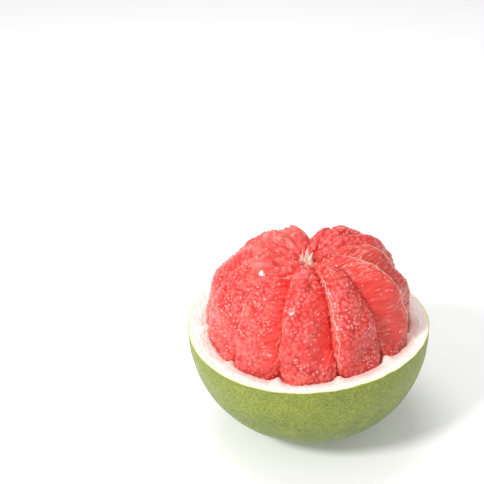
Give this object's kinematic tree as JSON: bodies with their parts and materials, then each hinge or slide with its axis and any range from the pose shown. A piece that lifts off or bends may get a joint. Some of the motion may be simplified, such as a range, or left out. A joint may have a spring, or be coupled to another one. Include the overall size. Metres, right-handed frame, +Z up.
{
  "type": "opened pomelo",
  "caption": "Pomelo with the upper half of its rind cut away, its peeled red segments standing round a pith core in the lower half.",
  "frame": {"origin": "on the fruit's axis, level with the small flat spot that the rind rests on", "axes": "+Z up along the fruit's core, and -Y the side from which it is usually seen"},
  "size_m": [0.16, 0.16, 0.132],
  "materials": {
    "rind": "green pored skin with a satin shine outside, and white to pale pink pith on the cut edge and inside",
    "core_pith": "pale fibrous pith, frayed at its tip",
    "flesh": "wet coral red juice sacs, slightly see-through, with pale tips and threads of membrane"
  },
  "bodies": {
    "root": {"rind": "rind", "core": "core_pith", "segment_01": "flesh", "segment_02": "flesh", "segment_03": "flesh", "segment_04": "flesh", "segment_05": "flesh", "segment_06": "flesh", "segment_07": "flesh", "segment_08": "flesh", "segment_09": "flesh", "segment_10": "flesh", "segment_11": "flesh", "segment_12": "flesh"}
  },
  "joints": []
}
